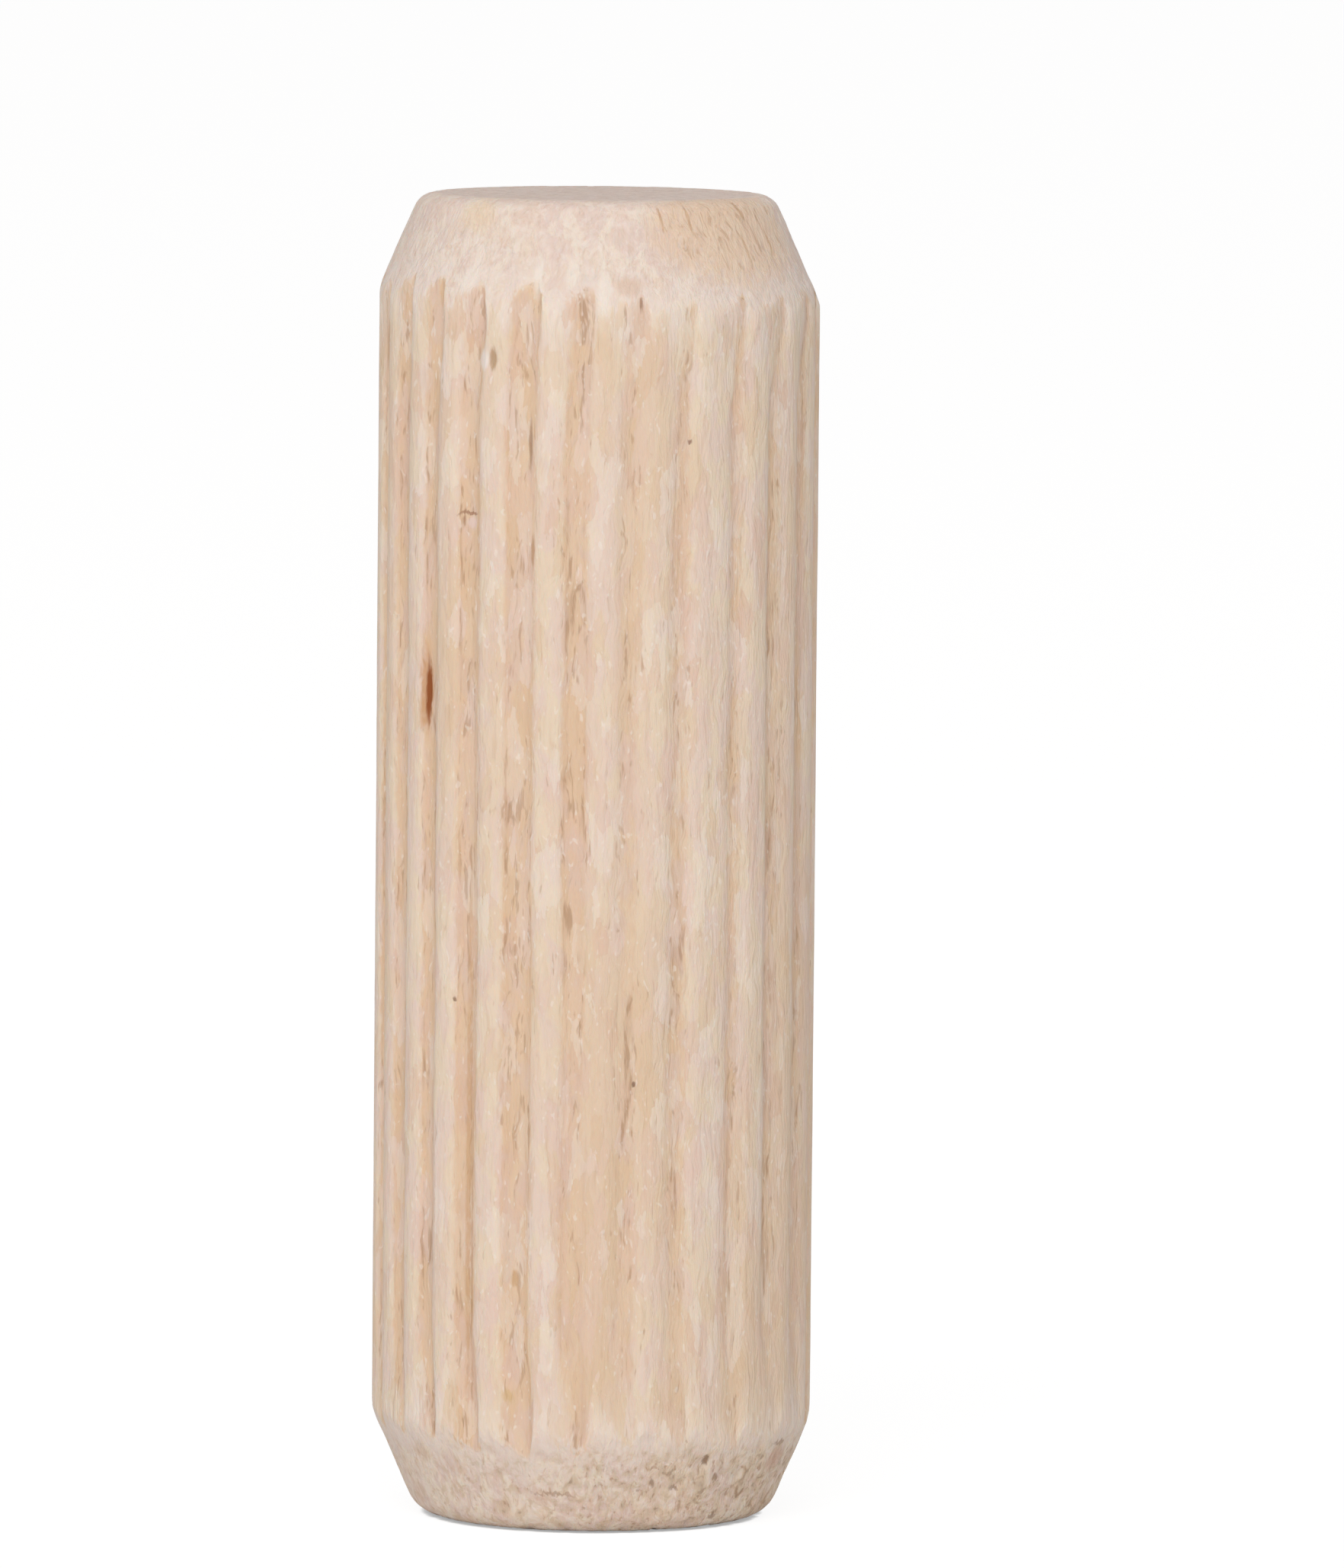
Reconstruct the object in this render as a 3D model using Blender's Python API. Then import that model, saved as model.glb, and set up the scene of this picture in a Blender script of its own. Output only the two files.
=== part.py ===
"""Fluted dowel pin: a straight hardwood pin with pressed flutes and pointed ends.

The pin is one piece of wood. Its two faces, its turned points and its flutes are one closed
surface, built as columns that run up the pin. Each column follows the turned point until it
meets the fluted rod, and from there it runs straight to the other point, so each flute runs
out on the cone in a sharp tongue. The pin stands on one end: the origin is the centre of that
end face, +Z runs up the pin and a ridge faces -Y. All sizes are in metres.
"""

import math

import bmesh
import bpy
from mathutils import Vector

# The rod
PIN_DIAMETER = 0.0100  # over the ridges that stand between the flutes
PIN_LENGTH = 0.0300

# The flutes, measured round the rod and down from its ridges
FLUTE_COUNT = 26
FLUTE_DEPTH = 0.00018
RIDGE_WIDTH = 0.00030  # flat top of each ridge
ROOT_WIDTH = 0.00012  # flat floor of each flute

# The pointed ends, the same at both
POINT_LENGTH = 0.0023  # along the pin, from the end face to where the cone would meet the ridges
POINT_DEPTH = 0.0010  # how much smaller in radius the cone's small end is than the ridges
EDGE_RADIUS = 0.00075  # rounding between the end face and the cone
SHOULDER_RADIUS = 0.0020  # rounding between the cone and the ridges
SHOULDER_RUN_OUT = math.radians(7)  # slope at which that rounding leaves the ridges

# How finely the round shapes are divided
FLANK_STEPS = 3
EDGE_STEPS = 5
POINT_SHARES = (0.5, 0.74, 0.86, 0.94, 1.0)  # of the way up the point to the fluted rod

# The wood
WOOD_COLOUR = (0.66, 0.50, 0.37, 1.0)  # pale hardwood, linear
WOOD_ROUGHNESS = 0.75

PIN_RADIUS = PIN_DIAMETER / 2
PITCH = math.pi * PIN_DIAMETER / FLUTE_COUNT  # round the rod, from ridge to ridge
FLANK_WIDTH = (PITCH - RIDGE_WIDTH - ROOT_WIDTH) / 2

# The turned point as an outline in the (radius, height) plane, from the bottom face up
CONE_LEAN = math.atan2(POINT_DEPTH, POINT_LENGTH)
CONE_UP = Vector((math.sin(CONE_LEAN), math.cos(CONE_LEAN)))
CONE_OUT = Vector((math.cos(CONE_LEAN), -math.sin(CONE_LEAN)))
CONE_FOOT = Vector((PIN_RADIUS - POINT_DEPTH, 0))
EDGE_SETBACK = EDGE_RADIUS * (1 - math.sin(CONE_LEAN)) / math.cos(CONE_LEAN)
EDGE_CENTRE = CONE_FOOT + Vector((-EDGE_SETBACK, EDGE_RADIUS))
CONE_START = EDGE_CENTRE + CONE_OUT * EDGE_RADIUS
SHOULDER_AXIS = PIN_RADIUS - SHOULDER_RADIUS * math.cos(SHOULDER_RUN_OUT)
CONE_LENGTH = (SHOULDER_AXIS - (CONE_START - CONE_OUT * SHOULDER_RADIUS).x) / CONE_UP.x
CONE_END = CONE_START + CONE_UP * CONE_LENGTH
SHOULDER_CENTRE = CONE_END - CONE_OUT * SHOULDER_RADIUS


def clear_scene():
    for obj in list(bpy.data.objects):
        bpy.data.objects.remove(obj)


def wood():
    material = bpy.data.materials.new("pale_hardwood")
    material.use_nodes = True
    shader = material.node_tree.nodes["Principled BSDF"]
    shader.inputs["Base Color"].default_value = WOOD_COLOUR
    shader.inputs["Roughness"].default_value = WOOD_ROUGHNESS
    shader.inputs["Metallic"].default_value = 0.0
    return material


def half_flute():
    """The rod's section from a ridge's middle to a root's, as (way round, radius).

    The ridge keeps the rod's radius and the root is level, and the flank between them is half
    a wave, because the flutes are pressed in and the press leaves no sharp corner.
    """
    spots = [(0.0, PIN_RADIUS)]
    for step in range(FLANK_STEPS + 1):
        share = step / FLANK_STEPS
        depth = FLUTE_DEPTH * (1 - math.cos(math.pi * share)) / 2
        spots.append((RIDGE_WIDTH / 2 + FLANK_WIDTH * share, PIN_RADIUS - depth))
    spots.append((PITCH / 2, PIN_RADIUS - FLUTE_DEPTH))
    return spots


def rod_section():
    """The whole section of the fluted rod as (angle, radius), from the ridge at -Y round."""
    one_flute = half_flute()
    one_flute += [(PITCH - way, radius) for way, radius in reversed(one_flute[1:-1])]
    section = []
    for flute in range(FLUTE_COUNT):
        for way, radius in one_flute:
            angle = (flute * PITCH + way) / PIN_RADIUS - math.pi / 2
            section.append((angle, radius))
    return section


def way_up_point(radius):
    """How far up the turned point, from the foot of the cone, it has grown to a radius."""
    if radius <= CONE_END.x:
        return (radius - CONE_START.x) / CONE_UP.x
    lean = math.acos((radius - SHOULDER_AXIS) / SHOULDER_RADIUS)
    return CONE_LENGTH + (CONE_LEAN - lean) * SHOULDER_RADIUS


def spot_on_point(way):
    """The (radius, height) that lies a given way up the turned point."""
    if way <= CONE_LENGTH:
        return CONE_START + CONE_UP * way
    lean = CONE_LEAN - (way - CONE_LENGTH) / SHOULDER_RADIUS
    return SHOULDER_CENTRE + Vector((math.cos(lean), -math.sin(lean))) * SHOULDER_RADIUS


def rounded_edge():
    """The rounding between the end face and the cone, without its last spot."""
    spots = []
    for step in range(EDGE_STEPS):
        turn = -math.pi / 2 + (math.pi / 2 - CONE_LEAN) * step / EDGE_STEPS
        spots.append(EDGE_CENTRE + Vector((math.cos(turn), math.sin(turn))) * EDGE_RADIUS)
    return spots


def column(angle, rod_radius):
    """The corners of one column, from the edge of the bottom face to that of the top face."""
    whole_way = way_up_point(rod_radius)
    spots = rounded_edge() + [spot_on_point(0.0)]
    for share in POINT_SHARES:
        spots.append(spot_on_point(share * whole_way))
    spots += [Vector((spot.x, PIN_LENGTH - spot.y)) for spot in reversed(spots)]
    return [(r * math.cos(angle), r * math.sin(angle), height) for r, height in spots]


def dowel_pin():
    bm = bmesh.new()
    columns = []
    for angle, rod_radius in rod_section():
        columns.append([bm.verts.new(corner) for corner in column(angle, rod_radius)])
    bottom = bm.verts.new((0, 0, 0))
    top = bm.verts.new((0, 0, PIN_LENGTH))
    for this, following in zip(columns, columns[1:] + columns[:1]):
        bm.faces.new((bottom, following[0], this[0]))
        for row in range(len(this) - 1):
            bm.faces.new((this[row], following[row], following[row + 1], this[row + 1]))
        bm.faces.new((top, this[-1], following[-1]))

    mesh = bpy.data.meshes.new("dowel_pin")
    bm.to_mesh(mesh)
    bm.free()
    mesh.materials.append(wood())
    pin = bpy.data.objects.new("dowel_pin", mesh)
    bpy.context.scene.collection.objects.link(pin)
    return pin


clear_scene()
dowel_pin()
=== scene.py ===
# %% [markdown]
# # A fluted dowel pin, close up
# A dowel pin is a short wooden rod that is glued into two facing holes to join two boards. Its
# flutes let air and glue escape, and its pointed ends find the hole. Seen this close it is mostly
# wood: pale ridges, browner flutes, vessels cut open along the grain and fibres torn on the points.
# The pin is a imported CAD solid, and this script loads it first, because it sets every size.

import math

import bmesh
import bpy
from mathutils import Matrix, Vector, noise


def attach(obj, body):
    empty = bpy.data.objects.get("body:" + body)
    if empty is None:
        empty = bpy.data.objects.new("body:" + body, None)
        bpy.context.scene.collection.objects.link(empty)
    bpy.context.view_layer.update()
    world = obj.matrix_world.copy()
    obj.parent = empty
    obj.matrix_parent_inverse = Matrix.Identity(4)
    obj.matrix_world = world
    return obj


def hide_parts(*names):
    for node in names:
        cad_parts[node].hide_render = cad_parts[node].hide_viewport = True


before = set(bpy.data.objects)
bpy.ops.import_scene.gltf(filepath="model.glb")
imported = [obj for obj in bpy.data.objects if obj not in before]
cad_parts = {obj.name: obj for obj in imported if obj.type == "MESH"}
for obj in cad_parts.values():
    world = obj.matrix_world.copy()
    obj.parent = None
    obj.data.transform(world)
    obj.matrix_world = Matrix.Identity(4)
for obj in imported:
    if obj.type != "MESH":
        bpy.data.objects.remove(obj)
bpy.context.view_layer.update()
print("packed nodes:", list(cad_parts))

# %% [markdown]
# ## The pin's sizes
# These are the same sizes as in the pin's CAD source, in millimetres here, because everything on
# so small a thing is easier to picture that way. One value turns them into metres at the end.

# %% Sizes of the pin, in millimetres
MM = 0.001
PIN_LENGTH = 30.0
PIN_RADIUS = 5.0
FLUTE_COUNT = 26
PITCH = 2 * math.pi * PIN_RADIUS / FLUTE_COUNT
POINT_LENGTH = 2.3
POINT_DEPTH = 1.0
EDGE_RADIUS = 0.75
SHOULDER_RADIUS = 2.0
SHOULDER_RUN_OUT = math.radians(7)
print("ridge to ridge:", round(PITCH, 3), "mm")

# %% [markdown]
# ## The turned point
# Both ends were pressed against a turning cutter: a flat sawn face, a small round, a cone and a
# soft shoulder where the cone runs out on the ridges. That outline is only a line in the plane of
# radius and height, so one short function can give any spot on it, from how far up the point
# it lies.

# %% The outline of a turned point
CONE_LEAN = math.atan2(POINT_DEPTH, POINT_LENGTH)
CONE_UP = Vector((math.sin(CONE_LEAN), math.cos(CONE_LEAN)))
CONE_OUT = Vector((math.cos(CONE_LEAN), -math.sin(CONE_LEAN)))
EDGE_SETBACK = EDGE_RADIUS * (1 - math.sin(CONE_LEAN)) / math.cos(CONE_LEAN)
EDGE_CENTRE = Vector((PIN_RADIUS - POINT_DEPTH - EDGE_SETBACK, EDGE_RADIUS))
CONE_START = EDGE_CENTRE + CONE_OUT * EDGE_RADIUS
SHOULDER_AXIS = PIN_RADIUS - SHOULDER_RADIUS * math.cos(SHOULDER_RUN_OUT)
CONE_LENGTH = (SHOULDER_AXIS - (CONE_START - CONE_OUT * SHOULDER_RADIUS).x) / CONE_UP.x
SHOULDER_CENTRE = CONE_START + CONE_UP * CONE_LENGTH - CONE_OUT * SHOULDER_RADIUS


def spot_on_point(way):
    """The radius and height a given way up the point; a negative way is on its rounded edge."""
    if way < 0:
        lean = CONE_LEAN - way / EDGE_RADIUS
        return EDGE_CENTRE + Vector((math.cos(lean), -math.sin(lean))) * EDGE_RADIUS
    if way <= CONE_LENGTH:
        return CONE_START + CONE_UP * way
    lean = CONE_LEAN - (way - CONE_LENGTH) / SHOULDER_RADIUS
    return SHOULDER_CENTRE + Vector((math.cos(lean), -math.sin(lean))) * SHOULDER_RADIUS


EDGE_WAY = EDGE_RADIUS * (math.pi / 2 - CONE_LEAN)
POINT_WAY = CONE_LENGTH + SHOULDER_RADIUS * (CONE_LEAN - SHOULDER_RUN_OUT)
print("end face radius:", round(spot_on_point(-EDGE_WAY).x, 3), "mm")
print("way up the whole point:", round(POINT_WAY, 3), "mm")
print("radius where the point ends:", round(spot_on_point(POINT_WAY).x, 3), "mm")

# %% [markdown]
# ## Flutes that a real die leaves
# A die with 26 blunt teeth presses the flutes while the rod is pushed through. Wood isn't metal:
# each flute comes out a little shallower or deeper than the next, its flanks wander where the
# fibres gave way, and a few teeth sat off their place. Each flute therefore gets its own numbers.
# Those on the front were measured on the real pin and stand in tables. The rest come from smooth
# noise, so the same pin comes out every time.

# %% The section of the rod, flute by flute
RIDGE_WIDTH = 0.32
FLANK_WIDTH = 0.40
FLUTE_DEPTH = 0.18
# How far round some ridges sit from an even spacing, in degrees, from the one that faces -Y
RIDGE_SHIFTS = {
    -5: -1.5,
    -4: -1.4,
    -3: -2.5,
    -2: -2.1,
    -1: -0.3,
    0: 0.7,
    1: 0.3,
    2: 0.3,
    3: 3.0,
    4: 5.0,
    5: 6.0,
    6: 4.5,
    7: 2.6,
    8: 1.0,
}
BROAD_RIDGES = {4: 0.36}  # the width of a ridge that is broader than the rest
# The widths of some flutes' flanks, left and right, and of all flutes' where they meet the points
ODD_FLANKS = {-2: (0.30, 0.30), -1: (0.34, 0.34), 2: (0.52, 0.48), 3: (0.28, 0.62), 4: (0.24, 0.55)}
END_FLANKS = (0.74, 0.13)
HOOKED = (2, 3)  # flutes whose left flank is steepest at its foot, and whose right one at its top
# How deep some flutes are as a share of the rest: along the shaft, where they meet the upper
# point, and where they meet the lower one
DEPTH_SHARES = {
    -5: (1.0, 1.0, 0.6),
    -4: (0.85, 1.1, 0.7),
    -3: (1.05, 1.05, 1.1),
    -2: (0.95, 1.35, 1.3),
    -1: (0.75, 0.9, 0.6),
    0: (0.55, 0.5, 0.4),
    1: (0.57, 0.45, 0.35),
    2: (0.64, 0.5, 0.45),
    3: (0.62, 0.55, 0.35),
    4: (0.75, 0.6, 0.35),
}
NEAR_END_FROM = 10.5  # mm from the pin's middle, where the flutes begin to change towards an end
NEAR_END_OVER = 1.8  # mm over which they do
RIDGE_CROWN = 0.012  # mm that a ridge's top is rounded down
CROWN_SHARE = 0.12  # of the way to the next ridge, over which it is
HOOK_POWER = 3


def drift(*where):
    """Smooth noise from -1 to 1 at a place given by up to three numbers."""
    return noise.noise(Vector((*where, 0.0, 0.0)[:3]))


def counted_both_ways(number):
    """A ridge's or flute's number, counted both ways from the front one instead of right round."""
    half = FLUTE_COUNT // 2
    return (number + half) % FLUTE_COUNT - half


def ridge_angle(ridge):
    """The direction of a ridge's middle, in radians round from -Y towards +X."""
    even = 2 * math.pi * ridge / FLUTE_COUNT
    shift = RIDGE_SHIFTS.get(counted_both_ways(ridge), 1.2 * drift(ridge * 0.77, 4.0))
    return even + math.radians(shift)


def held(value):
    """A value kept between 0 and 1."""
    return max(0.0, min(1.0, value))


def flute_depth(flute, height, near_end):
    """How deep a flute is at a height; towards the points it takes a depth of its own there."""
    number = counted_both_ways(flute)
    along = 1 + 0.35 * drift(number * 1.31, 9.0)
    at_top = at_bottom = 0.85 + 0.6 * drift(number * 1.7, height // (PIN_LENGTH / 2))
    along, at_top, at_bottom = DEPTH_SHARES.get(number, (along, at_top, at_bottom))
    at_end = at_top if height > PIN_LENGTH / 2 else at_bottom
    uneven = 1 + 0.12 * drift(flute * 3.1, height * 0.25)
    return FLUTE_DEPTH * (along + (at_end - along) * near_end) * uneven


def wander(flute, side, height):
    """How far the edge of a ridge strays to one side as the fibres gave way."""
    slowly = 0.035 * drift(flute * 5.3, side, height * 0.5)
    quickly = 0.04 * drift(flute * 7.7, side, height * 1.6)
    return slowly + quickly


def rod_radius(flute, share, height):
    """The fluted rod's radius, a share of the way from one ridge's middle to the next one's."""
    across = share * PITCH
    near_end = held((abs(height - PIN_LENGTH / 2) - NEAR_END_FROM) / NEAR_END_OVER)
    depth = flute_depth(flute, height, near_end)
    left = BROAD_RIDGES.get(flute, RIDGE_WIDTH) / 2 * (1 + 0.3 * drift(flute * 2.3, 1.0))
    left += wander(flute, 0.0, height)
    right = BROAD_RIDGES.get(flute + 1, RIDGE_WIDTH) / 2 * (1 + 0.3 * drift(flute * 2.9, 2.0))
    right = PITCH - right + wander(flute, 5.0, height)
    number = counted_both_ways(flute)
    left_flank, right_flank = ODD_FLANKS.get(number, (FLANK_WIDTH, FLANK_WIDTH))
    left_flank += (END_FLANKS[0] - left_flank) * near_end
    right_flank += (END_FLANKS[1] - right_flank) * near_end
    left_down = held((across - left) / left_flank)
    right_down = held((right - across) / right_flank)
    if number in HOOKED:
        wave = min(left_down**HOOK_POWER, math.sin(math.pi / 2 * right_down))
    else:
        wave = (1 - math.cos(math.pi * min(left_down, right_down))) / 2
    wave += (min(left_down, right_down) - wave) * near_end
    crown = RIDGE_CROWN * held(min(share, 1 - share) / CROWN_SHARE) ** 2
    return PIN_RADIUS - crown - (depth - crown) * wave


print("radius on a ridge and in a flute:", rod_radius(0, 0, 15), round(rod_radius(0, 0.5, 15), 3))

# %% [markdown]
# ## A sheet rolled into a pin
# The skin of the pin could be spun from its outline, but a spin gives every column the same
# rows, and the edge where a flute runs out on the cone would then be a staircase. So a flat
# sheet of squares is rolled up instead. Each of its columns climbs the point until it meets its
# own flute, and only there starts up the pin, so that the edge falls between two rows of squares.

# %% Rows and columns of the sheet
COLUMNS_PER_FLUTE = 18
EDGE_ROWS = 8
POINT_ROWS = 34
SHAFT_ROWS = 110
CROWDING = 0.4  # how much closer the shaft's rows lie where it meets the points
AROUND = FLUTE_COUNT * COLUMNS_PER_FLUTE
ROWS = 2 * (EDGE_ROWS + POINT_ROWS) + SHAFT_ROWS
# The cutters weren't quite in line with the rod: which way and how far each point sits off centre
POINT_OFFSETS = {"bottom": Vector((0.05, 0.0)), "top": Vector((-0.06, 0.02))}
# The upper face was sawn after turning, so its edge is less worn
EDGE_SHARES = {"bottom": 1.0, "top": 0.73}
CONE_FOOT = Vector((PIN_RADIUS - POINT_DEPTH, 0.0))
BLEND_WAY = 0.9  # over how much of a point its offset fades away
HALVINGS = 24  # how often the search for where a point meets its flute halves its range


def off_centre(end, angle):
    """How much further out the turned point reaches in a direction, for its offset."""
    outward = Vector((math.sin(angle), -math.cos(angle)))
    uneven = 0.035 * drift(math.sin(angle) * 1.6, math.cos(angle) * 1.6, 3.0 if end == "top" else 8.0)
    return POINT_OFFSETS[end].dot(outward) + uneven


def worn_spot(end, way):
    """A spot on the point with the rounded edge made as small as it is at that end."""
    spot = spot_on_point(way)
    return CONE_FOOT.lerp(spot, EDGE_SHARES[end]) if way < 0 else spot


def shifted_spot(end, way, reach):
    """A spot on the point of an off-centre cutter; towards the ridges it is central again."""
    spot = worn_spot(end, way)
    fade = min(1.0, (POINT_WAY - way) / BLEND_WAY)
    return Vector((spot.x + reach * fade * (2 - fade), spot.y))


def point_rows(end, angle, flute, share):
    """One column's spots on a turned point, from the end face up to the fluted rod."""
    reach = off_centre(end, angle)
    at_height = POINT_LENGTH if end == "bottom" else PIN_LENGTH - POINT_LENGTH
    goal = rod_radius(flute, share, at_height)
    low, high = 0.0, POINT_WAY
    for _ in range(HALVINGS):
        middle = (low + high) / 2
        low, high = (middle, high) if shifted_spot(end, middle, reach).x < goal else (low, middle)
    ways = [-EDGE_WAY * (1 - step / EDGE_ROWS) for step in range(EDGE_ROWS)]
    ways += [high * step / POINT_ROWS for step in range(POINT_ROWS + 1)]
    return [shifted_spot(end, way, reach) for way in ways]


def sheet_column(column):
    """The radius, direction and height of each corner in one column of the sheet."""
    flute, step = divmod(column, COLUMNS_PER_FLUTE)
    share = step / COLUMNS_PER_FLUTE
    angle = ridge_angle(flute) * (1 - share) + ridge_angle(flute + 1) * share
    bottom = point_rows("bottom", angle, flute, share)
    top = [Vector((spot.x, PIN_LENGTH - spot.y)) for spot in point_rows("top", angle, flute, share)]
    spots = list(bottom)
    for row in range(1, SHAFT_ROWS):
        up = row / SHAFT_ROWS
        up -= CROWDING * math.sin(2 * math.pi * up) / (2 * math.pi)
        height = bottom[-1].y + (top[-1].y - bottom[-1].y) * up
        spots.append(Vector((rod_radius(flute, share, height), height)))
    spots += reversed(top)
    return [(spot.x, angle, spot.y) for spot in spots]


print("sheet:", AROUND, "by", ROWS, "squares")

# %% [markdown]
# The sheet itself comes from one operator, which makes the squares and their flat map at once.
# Rolling it is only a move of each corner, and the last column then lies on the first, so the
# seam is closed by merging them. The sheet's own map stays as it was before the rolling, a flat
# map of the rolled skin. Each corner also notes how high it stands on a ridge and how many
# millimetres it lies past the end of its flute.

# %% Roll the sheet
SAME_PLACE = 0.0001  # mm within which corners are merged into one
bm = bmesh.new()
flat_map = bm.loops.layers.uv.new("OFBake")
crown = bm.verts.layers.float.new("crown")
past_flute = bm.verts.layers.float.new("past_flute")
sawn = bm.verts.layers.float.new("sawn")
bmesh.ops.create_grid(bm, x_segments=AROUND, y_segments=ROWS, size=0.5, calc_uvs=True)
TURNED_ROWS = EDGE_ROWS + POINT_ROWS
columns = [sheet_column(column) for column in range(AROUND + 1)]
for corner in bm.verts:
    column = round((corner.co.x + 0.5) * AROUND)
    row = round((corner.co.y + 0.5) * ROWS)
    radius, angle, height = columns[column][row]
    lowest, highest = columns[column][TURNED_ROWS][2], columns[column][ROWS - TURNED_ROWS][2]
    on_rod = columns[column][max(TURNED_ROWS, min(row, ROWS - TURNED_ROWS))][0]
    corner.co = (radius * math.sin(angle), -radius * math.cos(angle), height)
    corner[crown] = held(1 - (PIN_RADIUS - on_rod) / FLUTE_DEPTH)
    corner[past_flute] = max(lowest - height, height - highest)
before = len(bm.verts)
bmesh.ops.remove_doubles(bm, verts=bm.verts, dist=SAME_PLACE)
print("corners merged along the seam:", before - len(bm.verts), "and rows:", ROWS + 1)

# %% [markdown]
# The map's rows are one apart, whatever their real distance. They are moved to the distance up
# the pin's surface, so that a millimetre is as long on the cone as it is on the shaft, and the
# sheet then leaves a strip free at the bottom of the map for the two end faces.

# %% Space the map's rows as they lie on the pin
ENDS_BAND = 0.21
MAP_MARGIN = 0.004
ridge = columns[0]
row_ways = [0.0]
for (low_radius, _, low), (high_radius, _, high) in zip(ridge, ridge[1:]):
    row_ways.append(row_ways[-1] + math.hypot(high_radius - low_radius, high - low))
for face in bm.faces:
    for loop in face.loops:
        across, up = loop[flat_map].uv
        way = row_ways[round(up * ROWS)] / row_ways[-1]
        loop[flat_map].uv = (
            MAP_MARGIN + across * (1 - 2 * MAP_MARGIN),
            ENDS_BAND + way * (1 - MAP_MARGIN - ENDS_BAND),
        )
print("way over the surface from face to face:", round(row_ways[-1], 2), "mm")

# %% [markdown]
# ## The sawn ends
# Each end is a flat sawn face. Its skin grows inwards from the sheet's edge, ring by ring: the
# rim is extruded and its new corners are drawn in. All 468 columns would crowd together at the
# centre, so on some rings neighbours are moved to one place and merged, as in a knitted cap.

# %% Close both ends, ring by ring
END_RINGS = 18
CORNERS_ON_RING = {1: AROUND // 2, 8: AROUND // 6, 14: AROUND // 18}
RIM_REACH = 0.1  # mm from an end's height within which an open edge belongs to its rim
MAP_GAP = 0.5  # mm that are added to a face's width, so that it has room on the map
SAWN_INSET = 0.04  # mm inside the face's edge at which the wood is half sawn and half turned
SAWN_BLEND = 0.24  # mm over which the one gives way to the other


def direction(corner, centre):
    """Which way a corner lies from the centre of its end face."""
    return math.atan2(corner.co.x - centre.x, centre.y - corner.co.y)


def grow_ring(bm, rim, ring, centre, face_radius):
    """Extrude a rim one ring inwards; give back the new faces and the new rim."""
    grown = bmesh.ops.extrude_edge_only(bm, edges=rim)["geom"]
    corners = [item for item in grown if isinstance(item, bmesh.types.BMVert)]
    corners.sort(key=lambda corner: direction(corner, centre))
    angles = [direction(corner, centre) for corner in corners]
    together = len(corners) // CORNERS_ON_RING.get(ring, len(corners))
    radius = face_radius * (1 - ring / END_RINGS)
    for number, corner in enumerate(corners):
        angle = angles[number // together * together]
        corner.co = centre + Vector((math.sin(angle), -math.cos(angle), 0)) * radius
    bmesh.ops.remove_doubles(bm, verts=corners, dist=SAME_PLACE)
    corners = [corner for corner in corners if corner.is_valid]
    faces = {face for corner in corners for face in corner.link_faces}
    rim = {edge for corner in corners for edge in corner.link_edges if edge.is_boundary}
    return faces, list(rim)


def close_end(bm, end, height, map_centre):
    """Grow an end face inwards from its rim, and give it a round place on the map."""
    centre = Vector((*POINT_OFFSETS[end], height))
    face_radius = worn_spot(end, -EDGE_WAY).x
    open_edges = [edge for edge in bm.edges if edge.is_boundary]
    rim = [edge for edge in open_edges if abs(edge.verts[0].co.z - height) < RIM_REACH]
    face_list = set()
    for ring in range(1, END_RINGS):
        faces, rim = grow_ring(bm, rim, ring, centre, face_radius)
        face_list |= faces
    face_list |= set(bmesh.ops.contextual_create(bm, geom=rim)["faces"])
    band = ENDS_BAND - 2 * MAP_MARGIN
    for face in face_list:
        for loop in face.loops:
            place = (loop.vert.co - centre) / (2 * face_radius + MAP_GAP) * band
            loop[flat_map].uv = Vector(map_centre) + place.xy
            loop.vert[past_flute] = POINT_LENGTH
    for corner in bm.verts:
        if abs(corner.co.z - height) < EDGE_RADIUS:
            inside = face_radius - SAWN_INSET - (corner.co - centre).xy.length
            corner[sawn] = held(0.5 + inside / SAWN_BLEND)
    print(end, "face:", len(face_list), "faces")


close_end(bm, "bottom", 0.0, (0.15, ENDS_BAND / 2))
close_end(bm, "top", PIN_LENGTH, (0.45, ENDS_BAND / 2))
bmesh.ops.recalc_face_normals(bm, faces=bm.faces)
print("open edges:", sum(edge.is_boundary for edge in bm.edges))
print("triangles:", sum(len(face.verts) - 2 for face in bm.faces))
print("volume:", round(bm.calc_volume(), 1), "cubic mm")

# %% [markdown]
# ## What the tools did to the wood
# The shape so far is what the die and the cutter meant to leave. Wood answers with its own relief:
# fibres stand up and lie down along the grain, and where the cutter ran across them on the points
# it tore small pits out of the softer ones. Every corner is pushed in along its own normal by a
# depth in millimetres. It is never pushed out, so the pin stays as thick as it was.

# %% Small dents at places seen on the real pin
# Each dent: direction round from -Y towards +X in degrees, height, width, length and depth in mm
DENTS = [
    (-51.0, 19.05, 0.16, 1.4, 0.04),
    (-29.6, 26.48, 0.24, 0.50, 0.09),
    (-36.6, 22.95, 0.40, 0.30, 0.05),
    (23.4, 24.68, 0.12, 0.14, 0.03),
    (9.6, 10.25, 0.14, 0.14, 0.03),
    (-19.5, 24.4, 0.12, 1.6, 0.05),
    (-15.5, 21.3, 0.10, 0.9, 0.04),
]


def around_pin(degrees, height):
    """A place on the round pin, from its direction and height."""
    angle = math.radians(degrees)
    return Vector((PIN_RADIUS * math.sin(angle), -PIN_RADIUS * math.cos(angle), height))


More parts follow.
